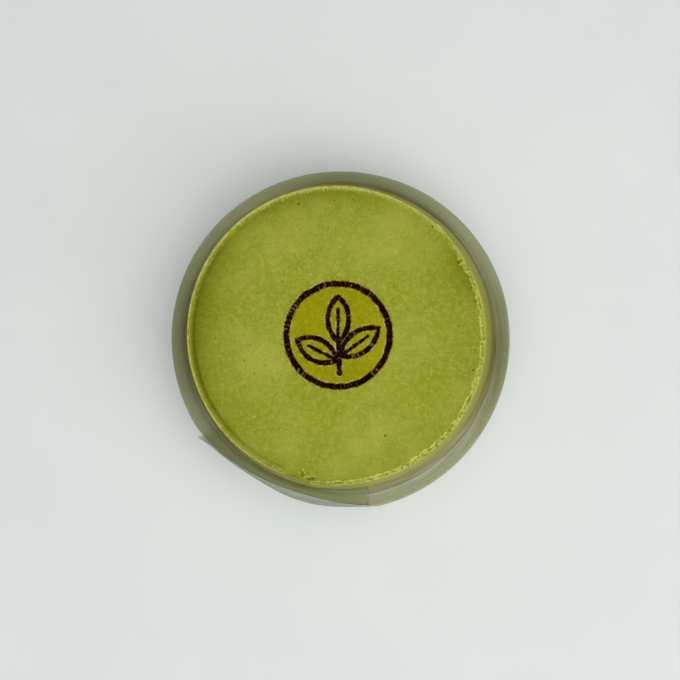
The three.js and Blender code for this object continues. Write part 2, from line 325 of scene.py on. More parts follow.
SAME_PLACE = 0.01 * MM
SAME_LEVEL = 0.02 * MM
SPIN_STEPS = 360
UNDERSIDE_PITCH = 11 * MM
FOOT_ROUNDING_STEP = math.pi / 8
COARSE_PITCH = 1.25 * MM
SKIRT_PITCH = 0.2 * MM
MARK_PITCH = 0.5 * MM
RIM_PITCH = 0.6 * MM
MARK_ZONE = 26.5 * MM
MARK_SHARE = 0.5
RIM_TOP_BAND = 6.6 * MM
RIM_SIDE_BAND = 4.8 * MM
FINE_TOP_BAND = 4.0 * MM
FINE_SIDE_BAND = 2.4 * MM
FILM_STEPS = 420
FILM_RISE_STEPS = 10

# Edges near to a pore and longer than this are halved, in two rounds.
PORE_ROUNDS = [
    {"reach": 2.2 * MM, "longer": 0.45 * MM},
    {"reach": 1.4 * MM, "longer": 0.225 * MM},
]

# The seam at the film's inner end, in degrees, and how far round vertices are moved to it.
SEAM_WIDTH = 0.1
SEAM_REACH = 3

random.seed(11)


# ---------- shape helpers ----------

def turn_between(angle, middle):
    """The turn from one angle to another, between half a turn back and half a turn on."""
    return (angle - middle + math.pi) % FULL_TURN - math.pi


def share_around(angle, least, places):
    """A share that has its least value but near the listed places round the rim."""
    return least + sum(
        place["share"] * bump(turn_between(angle, place["middle"]), place["span"])
        for place in places
    )


def smooth(low, high, value):
    """0 below low, 1 above high, eased between."""
    share = min(max((value - low) / (high - low), 0), 1)
    return share * share * (3 - 2 * share)


def lerp(first, second, share):
    return first + (second - first) * share


def bump(distance, width):
    return math.exp(-((distance / width) ** 2))


def ridge_height(place, ridge):
    return ridge["height"] * bump(place - ridge["place"], ridge["width"])


def span_weight(angle, span):
    """1 along a span of the rim, fading to 0 towards its two ends."""
    turned = (angle - span["start"]) % FULL_TURN
    length = span["end"] - span["start"]
    return smooth(0, span["fade"], turned) * (1 - smooth(length - span["fade"], length, turned))


def offset_circle(radius, centre, angle):
    """How far a circle that is a little off centre lies from the origin."""
    return radius + centre[0] * math.cos(angle) + centre[1] * math.sin(angle)


def fractal(point, pitch, octaves=4, shift=0):
    """Smooth seeded unevenness between about -1 and 1, with bumps a pitch apart."""
    return noise.fractal(Vector(point) / pitch + Vector((shift, shift, shift)), 0.8, 2.1, octaves)


def wave_height(point, height, **waves):
    return height * fractal(point, **waves)


def rim_waver(angle, reach, pitch, octaves):
    """Unevenness along the rim, read round a circle. Another reach gives another pattern."""
    place = Vector((reach * math.cos(angle), reach * math.sin(angle), reach))
    return fractal(place, pitch, octaves)


def recalculated(bm):
    bmesh.ops.recalc_face_normals(bm, faces=bm.faces)
    for face in bm.faces:
        face.smooth = True
    return bm


def placed(name, data):
    """Makes a mesh, a light or a camera an object of the scene."""
    made = bpy.data.objects.new(name, data)
    bpy.context.scene.collection.objects.link(made)
    return made


def placed_mesh(name, bm, material):
    mesh = bpy.data.meshes.new(name)
    bm.to_mesh(mesh)
    bm.free()
    mesh.materials.append(material)
    return placed(name, mesh)


def finished_piece(name, bm, material, node):
    """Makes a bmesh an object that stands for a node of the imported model."""
    piece = placed_mesh(name, bm, material)
    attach(piece, "root")
    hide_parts(node)
    return piece


# ---------- the film's foot, which the cake's foot spreads to ----------

def film_loop(turned):
    """The strip's distance from the origin, by how far it has turned from its inner end."""
    return FILM_RADIUS + FILM_LAYER_STEP * (smooth(FILM_OVERLAP, FULL_TURN, turned) - 0.5)


def film_foot(turned):
    return film_loop(turned) - HUG_DEPTH * (1 - smooth(HUG_LOOSENS, HUG_ENDS, turned))


# ---------- the cake's form ----------

def rim_marks(angle, what):
    return sum(
        mark[what] * bump(turn_between(angle, mark["angle"]), mark["width"])
        for mark in RIM_MARKS
    )


def edge_steps(angle):
    total = 0
    for step in EDGE_STEPS:
        way = math.copysign(1, step["stretch"])
        past = turn_between(angle, step["angle"]) * way
        rise = smooth(-EDGE_STEP_LENGTH / 2, EDGE_STEP_LENGTH / 2, past)
        total += step["push"] * rise * (1 - smooth(0, abs(step["stretch"]), past))
    return total


def top_radius(angle):
    skew = TOP_SKEW * math.sin(2 * angle)
    radius = offset_circle(TOP_RADIUS, TOP_CENTRE, angle) - skew
    return radius + rim_marks(angle, "push") + edge_steps(angle)


def skirt_share(height):
    return 1 - smooth(SKIRT_THICKNESS, SKIRT_HEIGHT, height)


def skirt_width(angle, foot):
    turned = (FILM_INNER_END - angle) % FULL_TURN
    past_start = (angle - SKIRT_START) % FULL_TURN
    return (film_foot(turned) - foot) * smooth(0, SKIRT_SPREAD, past_start)


def side_radius(angle, height):
    share = min(max(height / CAKE_HEIGHT, 0), 1)
    foot = offset_circle(FOOT_RADIUS, FOOT_CENTRE, angle)
    swayed = math.sin(SIDE_SWAYS_AROUND * angle + SIDE_SWAY_TURN) * math.sin(math.pi * share)
    side = lerp(foot, top_radius(angle), share**SIDE_CURVE) + SIDE_SWAY * swayed
    return side + skirt_width(angle, foot) * skirt_share(height)


def unevenness(x, y):
    total = 0
    for wave in TOP_WAVES:
        across = FULL_TURN * x / wave["across"] + wave["phase"]
        along = FULL_TURN * y / wave["along"]
        total += wave["height"] * math.sin(across + along) * math.cos(along)
    return total


def worn_width(angle):
    """The worn edge is widest at the lower right, narrow at the top, and uneven all along."""
    full = smooth(*WORN_GROWS, math.cos(turn_between(angle, WORN_WIDEST)))
    ragged = 1 + WORN_RAGGED * rim_waver(angle, reach=6, pitch=0.35, octaves=3)
    return WORN_WIDTH * lerp(WORN_NARROWEST, 1, full) * ragged


# Painted shade near the rim: how much it darkens the skin, up to a limit.
def rim_shade_share(from_edge, angle):
    fading = math.exp(-max(from_edge, 0) / RIM_SHADE_REACH)
    return min(share_around(angle, RIM_SHADE_LEAST, RIM_SHADE_PLACES) * fading, RIM_SHADE_LIMIT)


def groove_share(angle):
    """How deep the groove is along the rim, and how much painted shade its bottom gets, from 0 to 1.
    """
    return bump(turn_between(angle, GROOVE_MIDDLE), GROOVE_SPAN)


def lip_relief(from_edge, angle):
    waver = 1 + LIP_WAVER * rim_waver(angle, reach=9, pitch=0.3, octaves=4)
    lip = LIP_HEIGHT * waver * bump(from_edge - LIP_FROM_EDGE, LIP_WIDTH)
    deep = lerp(GROOVE_LEAST, 1, groove_share(angle))
    strayed = 1 + GROOVE_WAVER * rim_waver(angle, reach=5, pitch=0.8, octaves=2)
    groove = bump(from_edge - GROOVE_FROM_EDGE * strayed, GROOVE_WIDTH)
    return lip - GROOVE_DEPTH * deep * waver * groove


def worn_relief(from_edge, angle):
    """The bare slope, with a ragged ridge where the skin breaks off and another at the edge."""
    share = from_edge / worn_width(angle)
    slope = max(1 - share, 0) ** WORN_SLOPE
    bared = 1 - smooth(*SKIN_BREAKS, share)
    ridges = sum(ridge_height(share, ridge) for ridge in WORN_RIDGES)
    return ridges - WORN_DROP * slope - SKIN_THICKNESS * bared


def rim_relief(from_edge, angle):
    """How far the rim of the top stands above or below the flat surface."""
    mark = rim_marks(angle, "drop") * bump(from_edge, RIM_MARK_REACH)
    lip = span_weight(angle, LIP) * lip_relief(from_edge, angle)
    return lip + span_weight(angle, WORN) * worn_relief(from_edge, angle) - mark


# ---------- the burnt-in mark's form ----------

def arc_place(spoke, radius, line):
    """How far the end of a spoke lies outside a round stroke, and how far along it."""
    return abs(spoke.length - radius) - line / 2, math.atan2(spoke.y, spoke.x) * radius


def stroke_place(point, start, end, line):
    """How far a point lies outside a straight stroke with round ends, and how far along it."""
    run = end - start
    share = min(max((point - start).dot(run) / run.length_squared, 0), 1)
    return (point - start - run * share).length - line / 2, share * run.length


def leaf_place(point, base, tip, half_width):
    """The same for a leaf's outline. A leaf is where two equal circles meet."""
    run = tip - base
    circle = (run.length_squared / 4 + half_width**2) / (2 * half_width)
    across = Vector((-run.y, run.x)).normalized() * (circle - half_width)
    middle = (base + tip) / 2
    spokes = (point - middle - across, point - middle + across)
    return arc_place(max(spokes, key=lambda spoke: spoke.length), circle, LEAF_LINE)


def mark_place(x, y):
    """How far a point of the top lies outside the burnt strokes, and how far along the nearest."""
    point = Vector((x - MARK_CENTRE[0], y - MARK_CENTRE[1]))
    turned = Vector(
        (
            point.x * math.cos(MARK_TILT) + point.y * math.sin(MARK_TILT),
            point.y * math.cos(MARK_TILT) - point.x * math.sin(MARK_TILT),
        )
    )
    places = [arc_place(turned, RING_RADIUS, RING_LINE), stroke_place(turned, *STEM, STEM_LINE)]
    for leaf in LEAVES:
        rib_end = leaf["base"].lerp(leaf["tip"], RIB_REACH)
        places.append(leaf_place(turned, **leaf))
        places.append(stroke_place(turned, leaf["base"], rib_end, RIB_LINE))
    distance, along = min(places)
    return distance + STROKE_WOBBLE * fractal((turned.x, turned.y, 0), STROKE_WOBBLE_PITCH, 3), along


# ---------- the cake's mesh, spun round ----------

def spaced(start, end, pitch):
    """Stations from start up to, but not including, end, about a pitch apart."""
    count = max(round(abs(end - start) / pitch), 1)
    return [lerp(start, end, step / count) for step in range(count)]


def cake_section():
    """The half section that is spun: out along the underside, up the side and back to the axis."""
    flat_foot = TOP_RADIUS - FOOT_ROUNDING
    section = [(x, 0) for x in spaced(0, flat_foot, UNDERSIDE_PITCH)]
    for turn in spaced(0, math.pi / 2, FOOT_ROUNDING_STEP):
        x = flat_foot + FOOT_ROUNDING * math.sin(turn)
        section.append((x, FOOT_ROUNDING * (1 - math.cos(turn))))
    rim_low = CAKE_HEIGHT - RIM_SIDE_BAND
    section += [(TOP_RADIUS, z) for z in spaced(FOOT_ROUNDING, SKIRT_HEIGHT, SKIRT_PITCH)]
    section += [(TOP_RADIUS, z) for z in spaced(SKIRT_HEIGHT, rim_low, COARSE_PITCH)]
    section += [(TOP_RADIUS, z) for z in spaced(rim_low, CAKE_HEIGHT, RIM_PITCH)]
    rim_inside = TOP_RADIUS - RIM_TOP_BAND
    section += [(x, CAKE_HEIGHT) for x in spaced(TOP_RADIUS, rim_inside, RIM_PITCH)]
    section += [(x, CAKE_HEIGHT) for x in spaced(rim_inside, MARK_ZONE, COARSE_PITCH)]
    section += [(x, CAKE_HEIGHT) for x in spaced(MARK_ZONE, 0, MARK_PITCH)]
    section.append((0, CAKE_HEIGHT))
    return section


def runs_around(edge):
    first, second = edge.verts
    level = abs(first.co.z - second.co.z) < SAME_LEVEL
    return level and abs(first.co.xy.length - second.co.xy.length) < SAME_LEVEL


def halve(bm, edges):
    bmesh.ops.subdivide_edges(bm, edges=list(edges), cuts=1, use_grid_fill=True)


def refine_rim(bm, top_band, side_band, only_around=False):
    """Halves the faces within a band on each side of the top edge, both ways or only around."""
    edges = set()
    for face in bm.faces:
        middle = face.calc_center_median()
        inside = middle.xy.length > TOP_RADIUS - top_band
        if inside and middle.z > CAKE_HEIGHT - side_band:
            edges.update(face.edges)
    if only_around:
        edges = {edge for edge in edges if runs_around(edge)}
    halve(bm, edges)


def nearest_finder(places):
    finder = kdtree.KDTree(len(places))
    for index, place in enumerate(places):
        finder.insert(place, index)
    finder.balance()
    return finder


def spun_place(place):
    """Where a point of the real top lies on the round one that was spun."""
    angle = math.atan2(place.y, place.x)
    reach = place.length / top_radius(angle) * TOP_RADIUS
    return Vector((reach * math.cos(angle), reach * math.sin(angle), CAKE_HEIGHT))


def refine_pores(bm, pores):
    """Splits the faces round each pore finely enough to carry its hollow."""
    finder = nearest_finder([spun_place(pore["place"]) for pore in pores])
    for step in PORE_ROUNDS:
        edges = set()
        for face in bm.faces:
            middle = face.calc_center_median()
            if middle.z > CAKE_HEIGHT - SAME_PLACE and finder.find(middle)[2] < step["reach"]:
                edges.update(edge for edge in face.edges if edge.calc_length() > step["longer"])
        halve(bm, edges)


def spun_cake(pores):
    bm = bmesh.new()
    path = [bm.verts.new((x, 0, z)) for x, z in cake_section()]
    edges = [bm.edges.new(pair) for pair in zip(path, path[1:])]
    still = {"cent": (0, 0, 0), "dvec": (0, 0, 0), "axis": UP}
    turn = {"angle": FULL_TURN, "steps": SPIN_STEPS, "use_merge": True}
    bmesh.ops.spin(bm, geom=path + edges, **still, **turn)
    bmesh.ops.remove_doubles(bm, verts=bm.verts, dist=SAME_PLACE)
    refine_rim(bm, RIM_TOP_BAND, RIM_SIDE_BAND)
    refine_rim(bm, FINE_TOP_BAND, FINE_SIDE_BAND, only_around=True)
    refine_pores(bm, pores)
    return recalculated(bm)


def all_pores():
    """The listed pores, and smaller ones scattered over the top."""
    small = []
    while len(small) < SMALL_PORES:
        reach = SMALL_PORE_FIELD * math.sqrt(random.random())
        angle = random.uniform(0, FULL_TURN)
        radius = random.uniform(*SMALL_PORE_RADII) * MM
        place = Vector((reach * math.cos(angle), reach * math.sin(angle)))
        if (place - Vector(MARK_CENTRE)).length > RING_RADIUS + RING_LINE:
            small.append({"place": place, "radius": radius, "depth": SMALL_PORE_DEPTH * radius})
    return PORES + small


# ---------- the cake's fine relief ----------

def crumb_height(point, from_edge, worn):
    """Crumbs and small hollows of the bare crumb, strongest where the edge has worn."""
    shown = smooth(*CRUMB_STARTS, from_edge)
    covered = 1 - smooth(*CRUMB_ENDS, from_edge)
    crumbs = CRUMB_HEIGHT * fractal(point, CRUMB_PITCH, 3)
    near = noise.voronoi(point / HOLLOW_PITCH)[0][0]
    return worn * shown * covered * (crumbs + HOLLOW_DEPTH * (HOLLOW_LEVEL - near))


def skin_height(point):
    """The baked skin's fine unevenness."""
    return wave_height(point, **SKIN_SWELL) + wave_height(point, **SKIN_GRAIN)


def side_height(point):
    """Shallow creases that run round the side."""
    squeezed = Vector((point.x, point.y, point.z * SIDE_SQUEEZE))
    return wave_height(squeezed, **SIDE_CREASES) + wave_height(point, **SIDE_GRAIN)


def tear_height(point):
    """The torn skin's raised edges and slits, and how far a point is up or down there."""
    place = point.xy + Vector((1, 1)) * TEAR_WOBBLE * fractal(point, TEAR_WOBBLE_PITCH, 3, 4)
    height = 0
    torn = 0
    for line in TEARS:
        share = bump(stroke_place(place, line["start"], line["end"], 0)[0], line["width"])
        height += line["height"] * share
        torn += math.copysign(share, line["height"])
    return height, torn


def pore_height(point, pore):
    """A hollow with a low raised rim."""
    share = (point.xy - pore["place"]).length / pore["radius"]
    hollow = pore["depth"] * max(1 - share**2, 0) ** 1.5
    return pore["depth"] * ridge_height(share, PORE_RIM) - hollow


def mark_height(point, mark):
    """The burnt strokes lie deep and rough, with a low swollen border."""
    wall = mark + WALL_WAVER * fractal(point, WALL_WAVER_PITCH, 2)
    pressed = 1 - smooth(*WALL_SLOPE, wall)
    rough = 1 + CHAR_ROUGHNESS * fractal(point, CHAR_PITCH, 3, 9)
    return ridge_height(mark, BORDER) - MARK_DEPTH * pressed * rough


# ---------- the cake's shape, and notes on its surface for the material ----------

NOTES = (
    "from_edge", "mark", "along", "branded", "worn", "worn_place", "lip", "groove", "rim_shade",
    "pore", "torn", "rise", "skirt", "browned_and_shaded", "foot_shadow", "skirt_shade", "spot", "crest",
)


def seam_angle(angle):
    """Crowds the columns of vertices at the film's inner end, where the skirt starts at once."""
    past = math.degrees(angle - FILM_INNER_END) % 360
    if past > SEAM_REACH:
        return angle
    half = SEAM_WIDTH / 2
    if past < 1:
        moved = SEAM_WIDTH * past - half
    else:
        moved = half + (past - 1) * (SEAM_REACH - half) / (SEAM_REACH - 1)
    return FILM_INNER_END + math.radians(moved)


def rim_notes(angle):
    """What the surface is all the way up and in at one place round the cake."""
    lip = span_weight(angle, LIP)
    return {
        "worn": span_weight(angle, WORN),
        "lip": lip,
        "groove": groove_share(angle) * lip,
        "browned_and_shaded": share_around(angle, BROWNING_LEAST, BROWNING_SHADE_PLACES),
        "foot_shadow": share_around(angle, FOOT_SHADOW_LEAST, FOOT_SHADOW_PLACES),
        "skirt_shade": share_around(angle, 0, SKIRT_SHADE_PLACES),
        "crest": CREST_WIDTH * share_around(angle, 1, CREST_WIDENING) / MM,
    }


def point_notes(point, angle, from_edge):
    """What the surface is at one point, by where it lies."""
    from_mark = (point.xy - Vector(MARK_CENTRE)).length - RING_RADIUS
    return {
        "from_edge": from_edge / MM,
        "worn_place": from_edge / worn_width(angle),
        "rim_shade": rim_shade_share(from_edge, angle),
        "branded": 1 - smooth(*YELLOW_FADE, from_mark),
        "spot": bump((point.xy - SPOT_PLACE).length, SPOT_RADIUS),
    }


def top_relief(point, share, from_edge, pores, finder):
    """The top's fine relief at a point, and notes on what it comes from."""
    _, index, gap = finder.find(point.xy.to_3d())
    relief = skin_height(point) + pore_height(point, pores[index])
    notes = {"pore": max(1 - gap / pores[index]["radius"], -1)}
    if from_edge < TEAR_REACH:
        height, notes["torn"] = tear_height(point)
        relief += height
    if share < MARK_SHARE:
        mark, along = mark_place(point.x, point.y)
        notes.update({"mark": mark / MM, "along": along / MM})
        relief += mark_height(point, mark)
    return relief, notes


def shape_cake(bm, pores):
    """Moves each spun vertex to its real place and notes what its surface is."""
    layers = {name: bm.verts.layers.float.new(name) for name in NOTES}
    finder = nearest_finder([pore["place"].to_3d() for pore in pores])
    for vert in bm.verts:
        angle = seam_angle(math.atan2(vert.co.y, vert.co.x))
        share = min(vert.co.xy.length / TOP_RADIUS, 1)
        height = vert.co.z
        on_top = height > CAKE_HEIGHT - SAME_PLACE
        outward = Vector((math.cos(angle), math.sin(angle), 0))
        point = outward * share * side_radius(angle, height)
        if on_top:
            from_edge = (1 - share) * TOP_RADIUS
            point.z = height + rim_relief(from_edge, angle) + unevenness(point.x, point.y)
        else:
            from_edge = height - CAKE_HEIGHT
            edge = outward * top_radius(angle)
            edge_shift = rim_relief(0, angle) + unevenness(edge.x, edge.y)
            point.z = height * (1 + edge_shift / CAKE_HEIGHT)

        notes = rim_notes(angle) | point_notes(point, angle, from_edge)
        notes.update({"mark": FAR_FROM_MARK / MM, "along": 0, "pore": 0, "torn": 0})
        notes.update({"rise": height / CAKE_HEIGHT, "skirt": 0 if on_top else skirt_share(height)})

        rounding = EDGE_ROUNDING * max(1 - abs(from_edge) / EDGE_ROUNDING_REACH, 0) ** 2
        relief = crumb_height(point, from_edge, notes["worn"])
        relief -= rounding * (EDGE_ROUNDING_LEAST + notes["worn"])
        if on_top:
            fine, top_notes = top_relief(point, share, from_edge, pores, finder)
            relief += fine
            notes.update(top_notes)
        elif height > FOOT_ROUNDING:
            relief += side_height(point) * smooth(0, SIDE_RELIEF_STARTS, from_edge)

        upward = smooth(-EDGE_TURN, EDGE_TURN, from_edge)
        vert.co = point + (UP * upward + outward * (1 - upward)).normalized() * relief
        for name, layer in layers.items():
            vert[layer] = notes[name]
    return bm


# ---------- the film's mesh ----------

def lean_weight(angle):
    turn = turn_between(angle, LEAN_ANGLE)
    reach = turn / (LEAN_SPAN_AHEAD if turn > 0 else LEAN_SPAN_BEHIND)
    return max(1 - reach**2, 0) ** 1.5


def rim_parting(angle):
    """How far the outer layer's rim stands off the inner layer's, beyond their usual step."""
    share = (angle - PARTING_START) / (FILM_INNER_END - PARTING_START)
    if share > 0:
        return PARTING * math.sin(math.pi * min(share, 1) ** PARTING_BEND) ** 2
    past = max(FLICK_START - angle, 0) / (FLICK_START - FILM_OUTER_END)
    return FLICK * past**2


def film_place(along, height):
    """A point of the wound strip: how far along it, and how high."""
    turned = along * (FILM_OVERLAP + FULL_TURN)
    angle = FILM_INNER_END - turned
    parting = rim_parting(angle + FULL_TURN) if turned > FULL_TURN else 0
    wobble = FILM_WOBBLE * math.sin(3 * angle)
    rim = film_loop(turned) - LEAN_DEPTH * lean_weight(angle) + parting + wobble
    radius = lerp(film_foot(turned), rim, height / FILM_HEIGHT)
    return Vector((radius * math.cos(angle), radius * math.sin(angle), height))


def film_shade_share(angle, height):
    """How much painted shade darkens the film, from 0 to 1."""
    all_the_way = share_around(angle, 0, FILM_SHADE_PLACES) * lerp(1, FILM_SHADE_TOP, height / FILM_HEIGHT)
    at_foot = 1 - smooth(0, FILM_FOOT_SHADE_HEIGHT, height)
    return share_around(angle, 0, FILM_FOOT_SHADE_PLACES) * at_foot + all_the_way


def film_strip():
    bm = bmesh.new()
    bmesh.ops.create_grid(bm, x_segments=FILM_STEPS, y_segments=FILM_RISE_STEPS, size=0.5)
    film_shade = bm.verts.layers.float.new("film_shade")
    cut = bm.verts.layers.float.new("cut")
    for vert in bm.verts:
        vert[cut] = smooth(*FILM_CUT_EDGE, abs(vert.co.x))
        vert.co = film_place(vert.co.x + 0.5, (vert.co.y + 0.5) * FILM_HEIGHT)
        vert[film_shade] = film_shade_share(math.atan2(vert.co.y, vert.co.x), vert.co.z)
    recalculated(bm)
    bmesh.ops.solidify(bm, geom=bm.faces, thickness=FILM_WALL)
    return recalculated(bm)


# ---------- colours, as they look on a screen ----------

SKIN_GREEN = "959d1c"
SKIN_PATCH = "aab040"
SKIN_CLOUD = "8e9818"
SKIN_MOTTLE = "aeb43e"
PALE_GRAIN = "bcc256"
DARK_GRAIN = "7e880a"
PALE_DOT = "c1c552"
# Painted shade in pin-holes.
PINHOLE_SHADE = "6e780c"
# The painted shade's colour, which multiplies the skin near the rim.
RIM_SHADE_TINT = (0.36, 0.37, 0.1, 1)
SPOT_YELLOW = "9a9c02"

SIDE_CRUMB = "c4c464"
SIDE_PALE = "dddb86"
SIDE_TAN = "8a8432"
SIDE_STREAK = "8a8240"
# Painted shade in small holes of the side.
SIDE_HOLE_SHADE = "6c6a20"
LOW_PALE = "e2d4a8"
LOW_BROWN = "948450"
SKIRT_GREY = "b0a49e"
SKIRT_PALE = "d6ced0"
SKIRT_BROWN = "6a5e4a"
# The skirt's painted shade, which multiplies its colour.
SKIRT_SHADE_TINT = (0.74, 0.66, 0.28, 1)
# Painted shadow colours: on the skirt, and as a line at the side's foot.
FOOT_SHADOW_BROWN = "3c3414"
FOOT_SHADOW_LINE = "463e10"

GROOVE_GOLD = "a4a214"
# Painted shade in the groove's bottom.
GROOVE_SHADE = "5a6000"
CREST_PALE = "d0cf74"
CREST_SPECK = "c0c258"
WORN_CRUMB = "808b12"
WORN_PALE = "c8cb5a"
# Painted shade in the worn edge's holes.
WORN_HOLE_SHADE = "505a06"
# Pale crumb with a painted highlight, on the worn edge's ridges.
WORN_LINE_AND_HIGHLIGHT = "dad870"
PORE_HALO = "a8ad12"
# Painted shade in pore hollows.
PORE_SHADE = "4c520a"
TORN_PALE = "ccd050"
# Painted shade in the torn skin's slits.
TORN_SLIT_SHADE = "545e08"

MARK_TINT = (0.97, 0.83, 0.03, 1)
SCORCH = "6a5804"
SWOLLEN_SPOT = "d0c37c"
CHAR_BLACK = "070000"
CHAR_BROWN = "280b05"
# Painted highlight along cracks in the char.
CHAR_GLINT = "84765f"

FILM_GLOSS = "fbfdfc"
FILM_CLEAR = "f8faf5"
# Painted shade in what shows through the film.
FILM_SHADED = "bcb890"
FILM_RIM = "94986e"
FLOOR_SHADE = "e8eeec"
FLOOR_WHITE = "f1f6f4"

# The height of a full bump, and of the film's waves.
CAKE_BUMP = 0.11 * MM
FILM_BUMP = 0.1 * MM


# ---------- how materials are built ----------

def linear(code):
    """A colour code such as 9ba537 as the linear colour that shaders take."""
    shares = [int(code[place : place + 2], 16) / 255 for place in (0, 2, 4)]
    return tuple(
        share / 12.92 if share <= 0.04045 else ((share + 0.055) / 1.055) ** 2.4
        for share in shares
    ) + (1,)


class Recipe:
    """Builds one material from nodes. Patterns are laid out in millimetres of the piece."""

    def __init__(self, name):
        self.material = bpy.data.materials.new(name)
        self.material.use_nodes = True
        self.tree = self.material.node_tree
        self.tree.nodes.clear()
        metres = self.node("TexCoord").outputs["Object"]
        self.place = self.scaled(metres, (1 / MM, 1 / MM, 1 / MM))

    def node(self, kind, settings=None, sockets=None):
        made = self.tree.nodes.new("ShaderNode" + kind)
        for name, value in (settings or {}).items():
            setattr(made, name, value)
        for name, value in (sockets or {}).items():
            self.feed(made.inputs[name], value)
        return made

    def feed(self, socket, value):
        """Gives a socket a link, a number or a colour code."""
        if isinstance(value, bpy.types.NodeSocket):
            self.tree.links.new(value, socket)
        else:
            socket.default_value = linear(value) if isinstance(value, str) else value

    def vector(self, operation, first, second=(0, 0, 0)):
        return self.node("VectorMath", {"operation": operation}, {0: first, 1: second})

    def scaled(self, place, scales):
        """A place with each of its directions scaled, for patterns that run one way."""
        return self.vector("MULTIPLY", place, scales).outputs[0]

    def turned(self, place, angle):
        """A place turned about Z."""
        sockets = {"Vector": place, "Angle": angle}
        return self.node("VectorRotate", None, sockets).outputs[0]

    def math(self, operation, first, second=0.0):
        return self.node("Math", {"operation": operation}, {0: first, 1: second}).outputs[0]

    def noise(self, pitch, detail=3.0, roughness=0.55, place=None):
        """Soft unevenness from 0 to 1, with bumps a pitch of so many millimetres apart."""
        sockets = {"Vector": place or self.place, "Scale": 1 / pitch, "Detail": detail}
        return self.node("TexNoise", None, sockets | {"Roughness": roughness}).outputs["Fac"]

    def waver(self, pitch, detail, width, roughness=0.55):
        """Soft unevenness on both sides of 0, to make an edge ragged with."""
        return self.math("MULTIPLY", self.less(self.noise(pitch, detail, roughness), 0.5), width)

    def streaks(self, pitch):
        """Soft streaks that run round the Z axis, a pitch of so many millimetres apart."""
        flat = self.scaled(self.place, (1, 1, 0))
        along = self.scaled(flat, (0.05, 0.05, 0))
        reach = self.vector("LENGTH", flat).outputs["Value"]
        lifted = self.node("CombineXYZ", None, {2: reach}).outputs[0]
        place = self.vector("ADD", along, lifted).outputs[0]
        return self.span(self.noise(pitch, 3, 0.6, place), 0.36, 0.64)

    def dots(self, pitch, smallest, largest, soft=0.06, flat=True):
        """Scattered soft dots, 1 in their middles. Their sizes are shares of the pitch, and a
        smallest size below 0 leaves some out. Flat ones are columns along Z."""
        settings = {"voronoi_dimensions": "2D" if flat else "3D"}
        sockets = {"Vector": self.place, "Scale": 1 / pitch}
        cells = self.node("TexVoronoi", settings, sockets)
        chance = self.node("SeparateColor", None, {0: cells.outputs["Color"]}).outputs[0]
        size = self.span(chance, 0, 1, smallest, largest, "LINEAR")
        return self.span(self.less(size, cells.outputs["Distance"]), 0, soft)

    def attribute(self, name):
        return self.node("Attribute", {"attribute_name": name}).outputs["Fac"]

    def span(self, value, low, high, start=0.0, end=1.0, easing="SMOOTHSTEP"):
        """Runs from start to end while a value runs from low to high."""
        settings = {"interpolation_type": easing}
        sockets = {"Value": value, "From Min": low, "From Max": high, "To Min": start, "To Max": end}
        return self.node("MapRange", settings, sockets).outputs["Result"]

    def blend(self, share, first, second, kind="MIX"):
        settings = {"data_type": "RGBA", "blend_type": kind}
        return self.node("Mix", settings, {0: share, 6: first, 7: second}).outputs[2]

    def band(self, value, middle, width):
        """1 where a value is at the middle of a band, 0 from its width away."""
        return self.span(self.math("ABSOLUTE", self.less(value, middle)), 0, width, 1, 0)

    def less(self, first, second):
        return self.math("SUBTRACT", first, second)

    def product(self, first, *others):
        for other in others:
            first = self.math("MULTIPLY", first, other)
        return first

    def relief(self, height, distance):
        """Small bumps; the distance is that of a height of 1, in metres."""
        sockets = {"Height": height, "Distance": distance}
        return self.node("Bump", None, sockets).outputs["Normal"]

    def surface(self, shader):
        self.node("OutputMaterial", None, {"Surface": shader})
        return self.material


# ---------- the cake's material ----------

def skin_colour(made):
    """The baked skin: soft patches, a fine mottle, pale grains, and pin-holes darkened with painted
    shade.
    """
    patches = made.span(made.noise(36, 2), 0.32, 0.68)
    colour = made.blend(patches, SKIN_GREEN, SKIN_PATCH)
    clouds = made.span(made.noise(12, 2, 0.5), 0.36, 0.66)
    colour = made.blend(made.product(clouds, 0.55), colour, SKIN_CLOUD)
    mottle = made.span(made.noise(2.6, 2, 0.5), 0.4, 0.7)
    colour = made.blend(made.product(mottle, 0.55), colour, SKIN_MOTTLE)
    grain = made.noise(0.75, 3, 0.6)
    colour = made.blend(made.span(grain, 0.52, 0.75, 0, 0.62), colour, PALE_GRAIN)
    colour = made.blend(made.span(grain, 0.26, 0.48, 0.56, 0), colour, DARK_GRAIN)
    colour = made.blend(made.product(made.dots(2.6, -0.2, 0.2), 0.5), colour, PALE_DOT)
    pinholes = made.dots(3.4, -0.4, 0.15)
    return made.blend(made.product(pinholes, 0.5), colour, PINHOLE_SHADE), grain, pinholes


def rim_shade_colour(made, skin):
    """Painted shade darkens the skin towards the rim. There is also one deep yellow spot."""
    rim_shade = made.attribute("rim_shade")
    spot = made.product(made.attribute("spot"), 0.8)
    skin = made.blend(rim_shade, skin, RIM_SHADE_TINT, "MULTIPLY")
    return made.blend(spot, skin, SPOT_YELLOW), rim_shade, spot


